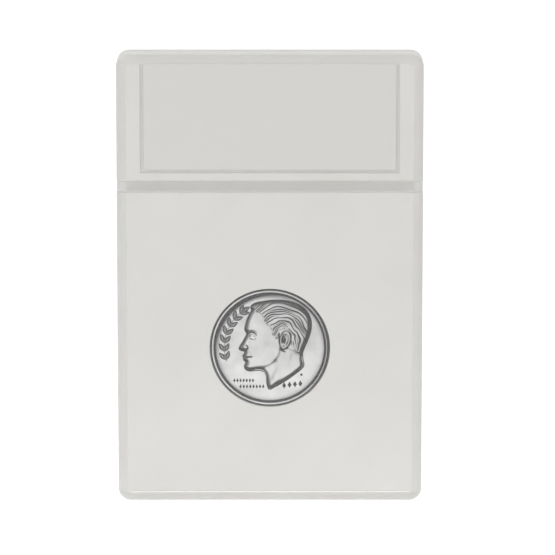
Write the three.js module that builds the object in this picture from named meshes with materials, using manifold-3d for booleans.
// Slab-type coin capsule: two clear shells that snap together round white foam
// sheets, with a blank label card above and a coin below.
// Millimetres. The pieces are drawn lying down: X to the right, Y up the slab,
// Z towards the front face. The last group stands the slab up on its bottom edge.
import * as THREE from 'three';
import { mergeVertices } from 'three/addons/utils/BufferGeometryUtils.js';
import Module from 'manifold-3d';

const wasm = await Module();
wasm.setup();

// ---- driving dimensions -----------------------------------------------------

// closed slab
const width = 59;
const height = 87.7;
const thickness = 8;
const cornerRadius = 2.4; // corners seen from the front
const edgeRound = 0.9; // outer edges of the front and back faces

// shells
const faceThickness = 1.2; // front and back windows
const wall = 1.5; // side wall, skirt and tongue together
const tongueThickness = 0.65; // tongue of the rear shell, inside the front skirt
const tongueLength = 1.6;
const lapClearance = 0.1; // all round the tongue
const partingGap = 0.12; // between the two side walls
const snapReach = 0.1; // how far the snap bead passes the skirt's inner face
const snapWidth = 0.5;
const snapClearance = 0.08;

// division between the label bay and the coin bay
const labelBayHeight = 24.7; // top edge of the slab to the division groove
const divisionWidth = 1.85;
const grooveDepth = 0.5;
const grooveChamfer = 0.25;
const sideNotchDepth = 0.2; // where the groove runs out over the long sides
const ribClearance = 0.15; // foam to rib on each side, and rib to the backing sheet

// coin and its seat
const coinDiameter = 23;
const coinThickness = 1.6;
const coinRimWidth = 0.9;
const coinRimHeight = 0.18;
const coinEdgeChamfer = 0.12;
const coinRecess = 0.3; // coin face below the foam face
const coinClearance = 0.15; // radial, coin to foam
const coinDrop = 1.1; // coin centre below the middle of the coin bay
const seatLedge = 1.3; // ring of backing sheet under the coin

// foam and label
const sheetClearance = 0.15; // foam to the side walls
const layerGap = 0.1; // between stacked layers
const windowGap = 0.2; // foam face to the front window
const labelSideMargin = 2.95; // foam edge to the label recess
const labelLedge = 1.6; // foam left below the label recess
const labelGap = 0.6; // card edge to the recess edge
const labelTopGap = 0.35; // card edge to the top of the foam
const cardThickness = 0.22;
const cardCornerRadius = 0.4;

const cornerSegments = 12;
const circleSegments = 96;
const overrun = 1; // how far a cutter passes the face it opens

// ---- sizes that follow from them ----------------------------------------------

const frontFace = thickness / 2;
const windowInside = frontFace - faceThickness;
const halfWidth = width / 2;
const divisionTop = height - labelBayHeight;
const divisionBottom = divisionTop - divisionWidth;
const divisionMiddle = (divisionTop + divisionBottom) / 2;

const frontSheetThickness = coinThickness + coinRecess;
const frontSheetFace = windowInside - windowGap;
const frontSheetBack = frontSheetFace - frontSheetThickness;
const backingFace = frontSheetBack - layerGap;
const backingBack = -windowInside + layerGap;

const coinCentre = (wall + divisionBottom) / 2 - coinDrop;
const coinRadius = coinDiameter / 2;
const seatRadius = coinRadius + coinClearance;
const backWindowRadius = coinRadius - seatLedge;

const recessDepth = cardThickness + layerGap;
const foamInset = wall + sheetClearance;
const recessInset = foamInset + labelSideMargin;
const recessBottom = divisionTop + labelLedge;
const skirtInset = wall - tongueThickness - lapClearance;

// ---- materials -----------------------------------------------------------------

const clearPlastic = new THREE.MeshStandardMaterial({
  color: 0xe4e7e6, roughness: 0.08, metalness: 0, transparent: true, opacity: 0.3,
});
const whiteFoam = new THREE.MeshStandardMaterial({ color: 0xe9e7e2, roughness: 0.9, metalness: 0 });
const labelStock = new THREE.MeshStandardMaterial({ color: 0xe8e6e0, roughness: 0.7, metalness: 0 });
const silveryMetal = new THREE.MeshStandardMaterial({ color: 0xc3c4c6, roughness: 0.25, metalness: 1 });

// ---- helpers -------------------------------------------------------------------

// A closed geometry as a manifold-3d solid.
function solidOf(geometry) {
  geometry.deleteAttribute('normal');
  geometry.deleteAttribute('uv');
  const merged = mergeVertices(geometry, 1e-5);
  return new wasm.Manifold(new wasm.Mesh({
    numProp: 3,
    vertProperties: Float32Array.from(merged.attributes.position.array),
    triVerts: Uint32Array.from(merged.index.array),
  }));
}

// A named mesh from a manifold-3d solid.
function meshOf(name, solid, material) {
  const { vertProperties, triVerts } = solid.getMesh();
  const geometry = new THREE.BufferGeometry();
  geometry.setAttribute('position', new THREE.BufferAttribute(vertProperties, 3));
  geometry.setIndex(new THREE.BufferAttribute(triVerts, 1));
  geometry.computeVertexNormals();
  const mesh = new THREE.Mesh(geometry, material);
  mesh.name = name;
  return mesh;
}

// A rectangle with round corners between x = -half and half, y = bottom and top.
function roundedRectangle(half, bottom, top, radius) {
  const shape = new THREE.Shape();
  shape.moveTo(-half + radius, bottom);
  shape.lineTo(half - radius, bottom);
  shape.absarc(half - radius, bottom + radius, radius, -Math.PI / 2, 0);
  shape.lineTo(half, top - radius);
  shape.absarc(half - radius, top - radius, radius, 0, Math.PI / 2);
  shape.lineTo(-half + radius, top);
  shape.absarc(-half + radius, top - radius, radius, Math.PI / 2, Math.PI);
  shape.lineTo(-half, bottom + radius);
  shape.absarc(-half + radius, bottom + radius, radius, Math.PI, Math.PI * 1.5);
  return shape;
}

// The slab's outline moved inwards by inset.
function slabOutline(inset) {
  return roundedRectangle(halfWidth - inset, inset, height - inset, cornerRadius - inset);
}

// A flat solid of one outline, from z = back to z = front.
function sheet(outline, back, front) {
  const geometry = new THREE.ExtrudeGeometry(outline, {
    depth: front - back, bevelEnabled: false, curveSegments: cornerSegments,
  });
  geometry.translate(0, 0, back);
  return solidOf(geometry);
}

function block(left, right, bottom, top, back, front) {
  const geometry = new THREE.BoxGeometry(right - left, top - bottom, front - back);
  geometry.translate((left + right) / 2, (bottom + top) / 2, (back + front) / 2);
  return solidOf(geometry);
}

// A round cutter for the coin's seat and the window behind it.
function coinCutter(radius, back, front) {
  const geometry = new THREE.CylinderGeometry(radius, radius, front - back, circleSegments);
  geometry.rotateX(Math.PI / 2);
  geometry.translate(0, coinCentre, (back + front) / 2);
  return solidOf(geometry);
}

// ---- shells --------------------------------------------------------------------

// The whole slab as one block with rounded front and back edges.
function slabBlock() {
  const geometry = new THREE.ExtrudeGeometry(slabOutline(edgeRound), {
    depth: thickness - 2 * edgeRound,
    bevelThickness: edgeRound,
    bevelSize: edgeRound,
    bevelSegments: 5,
    curveSegments: cornerSegments,
  });
  geometry.translate(0, 0, -frontFace + edgeRound);
  return solidOf(geometry);
}

// Everything on one side of the parting plane.
function halfSpace(back, front) {
  return block(-width, width, -height, 2 * height, back, front);
}

// Ring round the tongue: a bead that clicks into the skirt, or the slot it clicks into.
function snapRing(clearance) {
  const reach = snapReach + clearance;
  const halfBead = snapWidth / 2 + clearance;
  const middle = tongueLength / 2;
  const geometry = new THREE.ExtrudeGeometry(slabOutline(skirtInset), {
    depth: 2 * (halfBead - reach),
    bevelThickness: reach,
    bevelSize: reach,
    bevelSegments: 1,
    curveSegments: cornerSegments,
  });
  geometry.translate(0, 0, middle - halfBead + reach);
  return solidOf(geometry);
}

function rearShell() {
  const tray = slabBlock().intersect(halfSpace(-thickness, -partingGap / 2));
  const tongue = sheet(slabOutline(skirtInset + lapClearance), -windowInside, tongueLength);
  const cavity = sheet(slabOutline(wall), -windowInside, tongueLength + overrun);
  return tray.add(tongue).add(snapRing(0)).subtract(cavity);
}

// Chamfered channel across the front face, seen end-on and swept along X.
function divisionGroove() {
  const profile = new THREE.Shape();
  const half = divisionWidth / 2;
  profile.moveTo(-half, frontFace - grooveDepth);
  profile.lineTo(half, frontFace - grooveDepth);
  profile.lineTo(half, frontFace - grooveChamfer);
  profile.lineTo(half + grooveChamfer + overrun, frontFace + overrun);
  profile.lineTo(-half - grooveChamfer - overrun, frontFace + overrun);
  profile.lineTo(-half, frontFace - grooveChamfer);
  const length = width + 2 * overrun;
  const geometry = new THREE.ExtrudeGeometry(profile, { depth: length, bevelEnabled: false });
  // drawn as (y, z), swept along x
  geometry.applyMatrix4(new THREE.Matrix4().makeBasis(
    new THREE.Vector3(0, 1, 0), new THREE.Vector3(0, 0, 1), new THREE.Vector3(1, 0, 0),
  ));
  geometry.translate(-length / 2, divisionMiddle, 0);
  return solidOf(geometry);
}

function sideNotch(side) {
  const inner = side * (halfWidth - sideNotchDepth);
  const outer = side * (halfWidth + overrun);
  return block(
    Math.min(inner, outer), Math.max(inner, outer), divisionBottom, divisionTop, -overrun, frontFace + overrun,
  );
}

function frontShell() {
  const lid = slabBlock().intersect(halfSpace(partingGap / 2, thickness));
  const cavity = sheet(slabOutline(wall), -overrun, windowInside);
  const rebate = sheet(slabOutline(skirtInset), -overrun, tongueLength + lapClearance);
  const ribReach = halfWidth - wall - sheetClearance;
  const rib = block(
    -ribReach, ribReach, divisionBottom + ribClearance, divisionTop - ribClearance,
    backingFace + ribClearance, frontFace - grooveDepth,
  );
  return lid
    .subtract(cavity)
    .subtract(rebate)
    .subtract(snapRing(snapClearance))
    .add(rib)
    .subtract(divisionGroove())
    .subtract(sideNotch(-1))
    .subtract(sideNotch(1));
}

// ---- foam, label and coin --------------------------------------------------------

// One full sheet behind everything, with a window that shows the coin's other side.
function foamBacking() {
  return sheet(slabOutline(foamInset), backingBack, backingFace)
    .subtract(coinCutter(backWindowRadius, backingBack - overrun, backingFace + overrun));
}

// The front layer, cut from one sheet outline at the division.
function frontSheet(bottom, top) {
  return sheet(slabOutline(foamInset), frontSheetBack, frontSheetFace)
    .intersect(block(-width, width, bottom, top, -thickness, thickness));
}

function foamCoinPanel() {
  return frontSheet(-height, divisionBottom)
    .subtract(coinCutter(seatRadius, frontSheetBack - overrun, frontSheetFace + overrun));
}

// The recess for the card is open at the top edge.
function foamLabelPad() {
  const recess = block(
    -halfWidth + recessInset, halfWidth - recessInset, recessBottom, height,
    frontSheetFace - recessDepth, frontSheetFace + overrun,
  );
  return frontSheet(divisionTop, 2 * height).subtract(recess);
}

function labelCard() {
  const outline = roundedRectangle(
    halfWidth - recessInset - labelGap,
    recessBottom + labelGap,
    height - foamInset - labelTopGap,
    cardCornerRadius,
  );
  return sheet(outline, frontSheetFace - cardThickness, frontSheetFace);
}

// Blank disc with a raised rim on both faces, turned about its own axis.
function coinBlank() {
  const rimInside = coinRadius - coinRimWidth;
  const profile = [
    [0, coinRimHeight],
    [rimInside - coinRimHeight, coinRimHeight],
    [rimInside, 0],
    [coinRadius - coinEdgeChamfer, 0],
    [coinRadius, coinEdgeChamfer],
    [coinRadius, coinThickness - coinEdgeChamfer],
    [coinRadius - coinEdgeChamfer, coinThickness],
    [rimInside, coinThickness],
    [rimInside - coinRimHeight, coinThickness - coinRimHeight],
    [0, coinThickness - coinRimHeight],
  ].map(([radius, along]) => new THREE.Vector2(radius, along));
  return solidOf(new THREE.LatheGeometry(profile, circleSegments));
}

// ---- assembly --------------------------------------------------------------------

const stack = new THREE.Group();
stack.add(meshOf('rear_shell', rearShell(), clearPlastic));
stack.add(meshOf('foam_backing', foamBacking(), whiteFoam));
stack.add(meshOf('foam_coin_panel', foamCoinPanel(), whiteFoam));
stack.add(meshOf('foam_label_pad', foamLabelPad(), whiteFoam));
stack.add(meshOf('label_card', labelCard(), labelStock));

const coin = meshOf('coin', coinBlank(), silveryMetal);
coin.rotation.x = Math.PI / 2;
coin.position.set(0, coinCentre, frontSheetBack);
stack.add(coin);

stack.add(meshOf('front_shell', frontShell(), clearPlastic));

// Stand the slab on its bottom edge: drawing Y becomes up, drawing Z faces the viewer.
stack.rotation.x = Math.PI / 2;

const capsule = new THREE.Group();
capsule.name = 'coin_capsule';
capsule.add(stack);

export default capsule;
